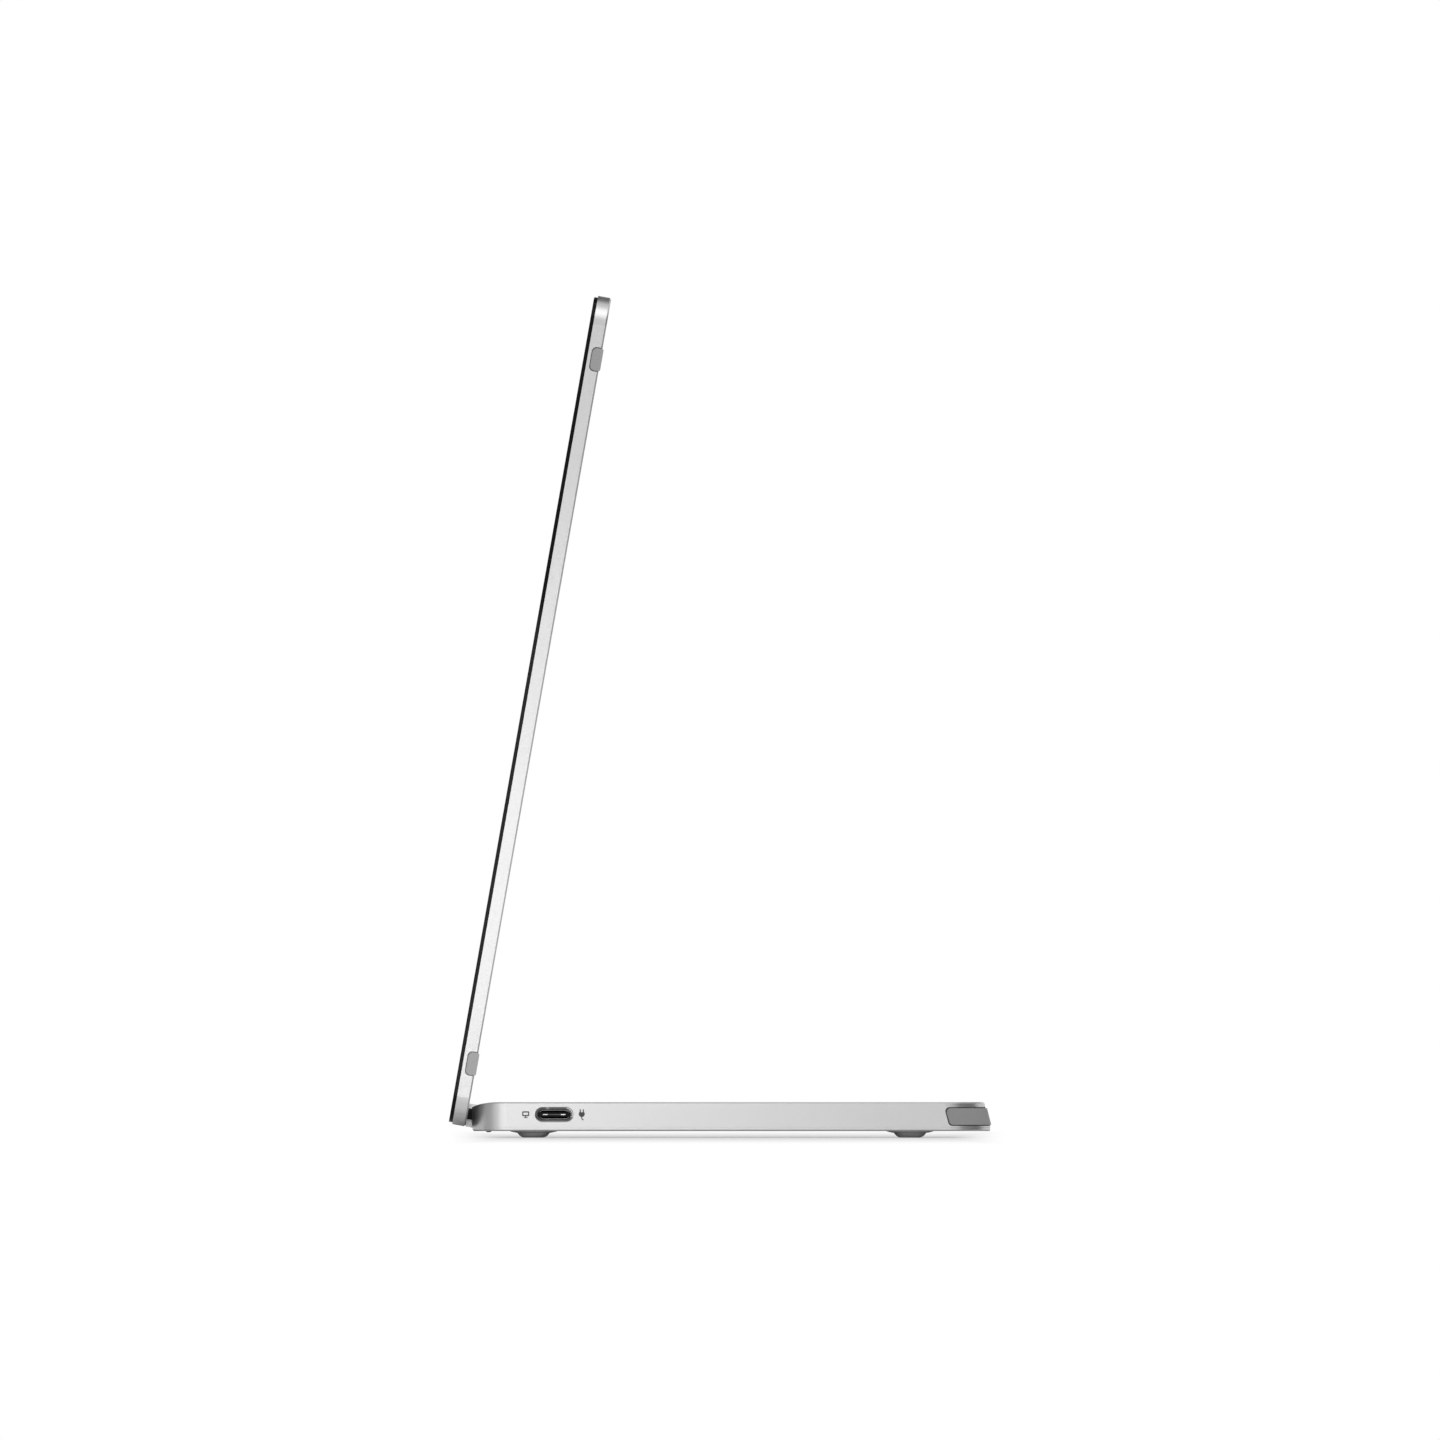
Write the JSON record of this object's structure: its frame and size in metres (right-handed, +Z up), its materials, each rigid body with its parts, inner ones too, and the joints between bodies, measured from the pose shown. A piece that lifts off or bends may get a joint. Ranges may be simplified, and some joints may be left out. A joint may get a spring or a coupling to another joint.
{
  "type": "portable monitor",
  "caption": "Slim portable monitor: flat screen on a friction hinge, folding flat onto a thin rubber-footed base with side data sockets and keys.",
  "frame": {"origin": "middle of the footprint on the surface that the feet stand on", "axes": "+X to the right of someone looking at the screen's front, +Y from the screen to the base, +Z up"},
  "size_m": [0.3238, 0.1346, 0.2089],
  "materials": {
    "shell_metal": "fine bead-blasted, clear anodised",
    "dark_glass": "gloss front, black border behind",
    "foot_rubber": "matt moulded rubber",
    "edge_rubber": "matt moulded rubber, grey",
    "hinge_black": "satin black coated steel",
    "steel": "turned and ground",
    "screw_black": "black oxide",
    "socket_steel": "drawn stainless sheet",
    "socket_plastic": "moulded, fine",
    "contact_gold": "gold flashed",
    "board_green": "solder mask",
    "chip_black": "moulded",
    "shield_tin": "tinned sheet",
    "flex_amber": "polyimide film",
    "cable_black": "taped bundle",
    "sheet_white": "diffusing film",
    "guide_clear": "clear, dotted back",
    "cell_glass": "polarised face",
    "adhesive_clear": "clear gel",
    "frame_plastic": "moulded",
    "key_metal": "fine blasted, clear anodised"
  },
  "bodies": {
    "base": {"base_bottom_plate": "shell_metal", "base_upper_shell": "shell_metal", "board_link_cable": "flex_amber", "board_screws": "steel", "board_shield": "shield_tin", "bottom_screws": "screw_black", "bumper_rear_left": "edge_rubber", "bumper_rear_right": "edge_rubber", "data_socket_contacts_left": "contact_gold", "data_socket_contacts_right": "contact_gold", "data_socket_shell_left": "socket_steel", "data_socket_shell_right": "socket_steel", "data_socket_tongue_left": "socket_plastic", "data_socket_tongue_right": "socket_plastic", "display_cable_base": "cable_black", "foot_front_left": "foot_rubber", "foot_front_right": "foot_rubber", "foot_rear_left": "foot_rubber", "foot_rear_right": "foot_rubber", "hinge_barrel_left": "steel", "hinge_barrel_right": "steel", "hinge_screws_base": "steel", "main_board": "board_green", "main_board_chips": "chip_black", "rocker_pin": "steel", "side_board": "board_green", "tact_switches": "chip_black"},
    "screen": {"display_cable_screen": "cable_black", "driver_board": "board_green", "driver_board_parts": "chip_black", "driver_flexes": "flex_amber", "edge_pad_lower_left": "edge_rubber", "edge_pad_lower_right": "edge_rubber", "edge_pad_upper_left": "edge_rubber", "edge_pad_upper_right": "edge_rubber", "film_stack": "sheet_white", "front_glass": "dark_glass", "glass_adhesive": "adhesive_clear", "hinge_cover": "shell_metal", "hinge_cover_screws": "steel", "hinge_leaf_left": "hinge_black", "hinge_leaf_right": "hinge_black", "hinge_nut_left": "steel", "hinge_nut_right": "steel", "hinge_pin_left": "steel", "hinge_pin_right": "steel", "hinge_screws_screen": "steel", "hinge_washers_left": "steel", "hinge_washers_right": "steel", "lcd_cell": "cell_glass", "light_guide_plate": "guide_clear", "light_strip": "flex_amber", "panel_frame": "frame_plastic", "reflector_sheet": "sheet_white", "screen_back_cover": "shell_metal"},
    "power_key": {"power_button": "key_metal"},
    "rocker": {"brightness_rocker": "key_metal"}
  },
  "joints": [
    {"name": "screen_tilt", "type": "hinge", "parent": "base", "child": "screen", "pos_m": [0, -0.05809, 0.0048], "axis": [1, 0, 0], "range_deg": [-80, 15]},
    {"name": "power_press", "type": "slide", "parent": "base", "child": "power_key", "axis": [1, 0, 0], "range_m": [0, 0.00035], "stiffness_N_per_m": 1500, "springref_m": -0.0004},
    {"name": "rocker_tilt", "type": "hinge", "parent": "base", "child": "rocker", "pos_m": [-0.1586, 0.00345, 0.00562], "axis": [0, 0, 1], "range_deg": [-2, 2], "stiffness_Nm_per_rad": 0.13}
  ]
}
